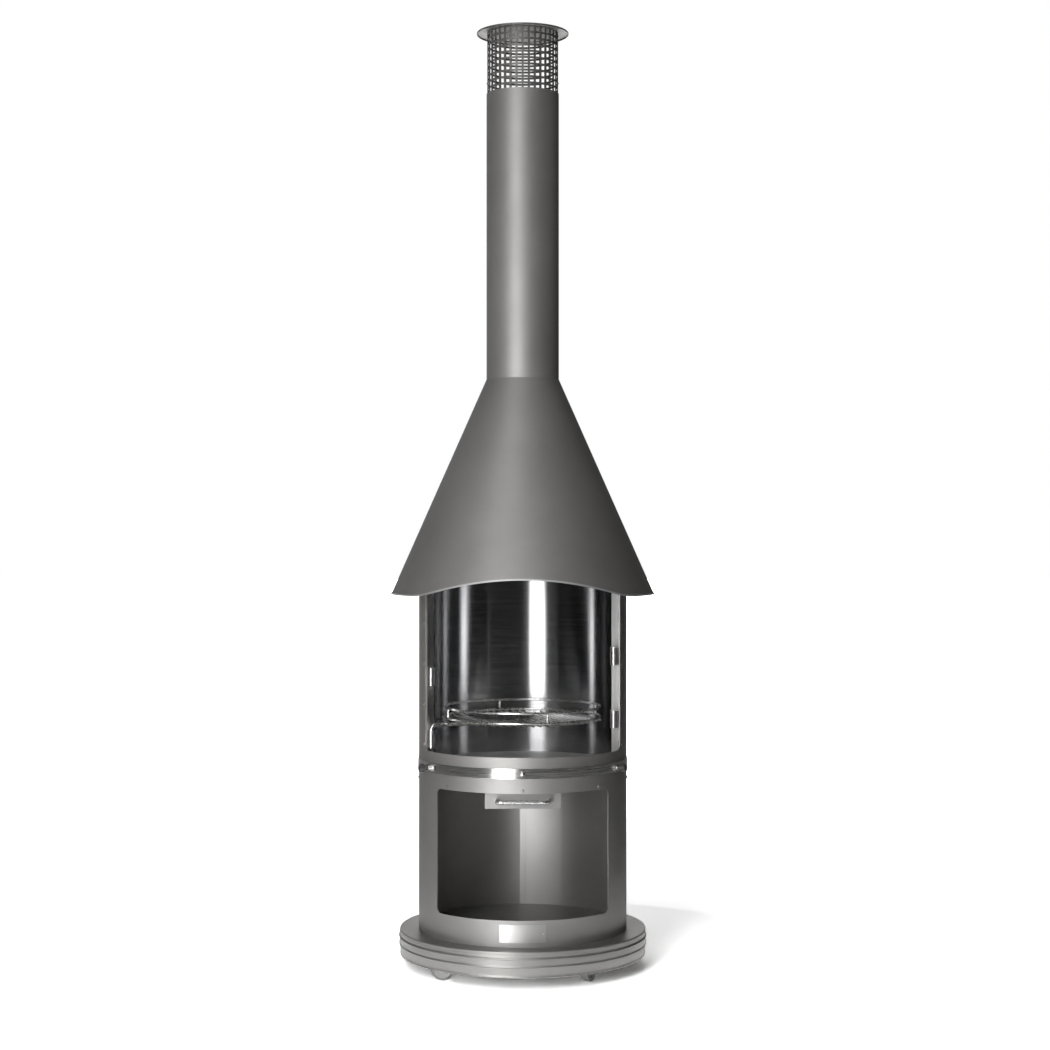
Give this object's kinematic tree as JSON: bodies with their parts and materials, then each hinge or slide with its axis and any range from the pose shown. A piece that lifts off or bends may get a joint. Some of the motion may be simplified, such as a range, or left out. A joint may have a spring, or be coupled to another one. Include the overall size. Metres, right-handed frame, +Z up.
{
  "type": "outdoor fireplace",
  "caption": "Round garden fireplace on castors with a wood store, ash drawer, swing-out grill, conical hood, flue pipe, spark guard and flat rain cap.",
  "frame": {"origin": "on the floor, on the axis of the round body", "axes": "+Z up along the body's axis, -Y to the front with the openings, +X to the right seen from the front"},
  "size_m": [0.6346, 0.6165, 2.2425],
  "materials": {
    "plinth_paint": "satin grey heat-proof paint with a fine metallic grain",
    "shell_paint": "satin grey heat-proof paint with a fine metallic grain",
    "inner_steel": "matt dark grey heat-proof paint",
    "stainless": "brushed stainless steel, glossy",
    "rod_steel": "drawn stainless rod",
    "fastener": "bright zinc and stainless fasteners",
    "plate": "brushed bare aluminium",
    "knob": "black moulded plastic",
    "cast_iron": "matt cast iron, sooty",
    "zinc": "bright zinc plate",
    "hub": "light grey moulded plastic",
    "tyre": "light grey rubber"
  },
  "bodies": {
    "root": {"base_plinth": "plinth_paint", "cross_rails": "inner_steel", "castor_plates": "zinc", "castor_bolts": "fastener", "kingpins": "zinc", "foot_screws": "fastener", "log_floor": "inner_steel", "lower_shell": "shell_paint", "nameplate": "plate", "nameplate_rivets": "fastener", "divider_plate": "inner_steel", "divider_screws": "fastener", "drawer_runner_left": "zinc", "drawer_runner_right": "zinc", "joint_ring": "inner_steel", "fire_bowl": "stainless", "ash_grate": "cast_iron", "clamp_band": "stainless", "band_screws": "fastener", "side_bolts": "fastener", "side_knobs": "knob", "upper_shell": "shell_paint", "firebox_liner": "stainless", "liner_rivets": "fastener", "socket_left_lower": "stainless", "socket_left_upper": "stainless", "socket_right_lower": "stainless", "socket_right_upper": "stainless", "hood": "shell_paint", "hood_brackets": "inner_steel", "bracket_screws": "fastener", "chimney_collar": "inner_steel", "flue_pipe": "shell_paint", "spark_guard": "inner_steel", "guard_rivets": "fastener", "rain_cap": "shell_paint"},
    "drawer": {"ash_drawer": "zinc", "drawer_front": "plate", "drawer_handle": "rod_steel", "handle_screws": "fastener"},
    "grill": {"grill_arm": "rod_steel", "grill_rings": "rod_steel", "grill_posts": "rod_steel", "grill_bars": "rod_steel"},
    "castor_front_left": {"castor_fork_front_left": "zinc", "castor_axle_front_left": "fastener"},
    "wheel_front_left": {"castor_hub_front_left": "hub", "castor_tyre_front_left": "tyre"},
    "castor_front_right": {"castor_fork_front_right": "zinc", "castor_axle_front_right": "fastener"},
    "wheel_front_right": {"castor_hub_front_right": "hub", "castor_tyre_front_right": "tyre"},
    "castor_rear_left": {"castor_fork_rear_left": "zinc", "castor_axle_rear_left": "fastener"},
    "wheel_rear_left": {"castor_hub_rear_left": "hub", "castor_tyre_rear_left": "tyre"},
    "castor_rear_right": {"castor_fork_rear_right": "zinc", "castor_axle_rear_right": "fastener"},
    "wheel_rear_right": {"castor_hub_rear_right": "hub", "castor_tyre_rear_right": "tyre"}
  },
  "joints": [
    {"name": "grill_swing", "type": "hinge", "parent": "root", "child": "grill", "pos_m": [-0.21589, -0.10017, 0.55], "axis": [0, 0, 1], "range_deg": [-135, 10]},
    {"name": "drawer_slide", "type": "slide", "parent": "root", "child": "drawer", "axis": [0, -1, 0], "range_m": [0, 0.22]},
    {"name": "castor_swivel_front_left", "type": "hinge", "parent": "root", "child": "castor_front_left", "pos_m": [-0.165, -0.16, 0.06], "axis": [0, 0, 1], "continuous": true},
    {"name": "wheel_spin_front_left", "type": "hinge", "parent": "castor_front_left", "child": "wheel_front_left", "pos_m": [-0.18849, -0.16855, 0.025], "axis": [0.342, -0.9397, 0], "continuous": true},
    {"name": "castor_swivel_front_right", "type": "hinge", "parent": "root", "child": "castor_front_right", "pos_m": [0.165, -0.16, 0.06], "axis": [0, 0, 1], "continuous": true},
    {"name": "wheel_spin_front_right", "type": "hinge", "parent": "castor_front_right", "child": "wheel_front_right", "pos_m": [0.1525, -0.18165, 0.025], "axis": [0.866, -0.5, 0], "continuous": true},
    {"name": "castor_swivel_rear_left", "type": "hinge", "parent": "root", "child": "castor_rear_left", "pos_m": [-0.165, 0.16, 0.06], "axis": [0, 0, 1], "continuous": true},
    {"name": "wheel_spin_rear_left", "type": "hinge", "parent": "castor_rear_left", "child": "wheel_rear_left", "pos_m": [-0.17556, 0.18266, 0.025], "axis": [-0.9063, -0.4226, 0], "continuous": true},
    {"name": "castor_swivel_rear_right", "type": "hinge", "parent": "root", "child": "castor_rear_right", "pos_m": [0.165, 0.16, 0.06], "axis": [0, 0, 1], "continuous": true},
    {"name": "wheel_spin_rear_right", "type": "hinge", "parent": "castor_rear_right", "child": "wheel_rear_right", "pos_m": [0.18415, 0.14393, 0.025], "axis": [0.6428, 0.766, 0], "continuous": true}
  ]
}
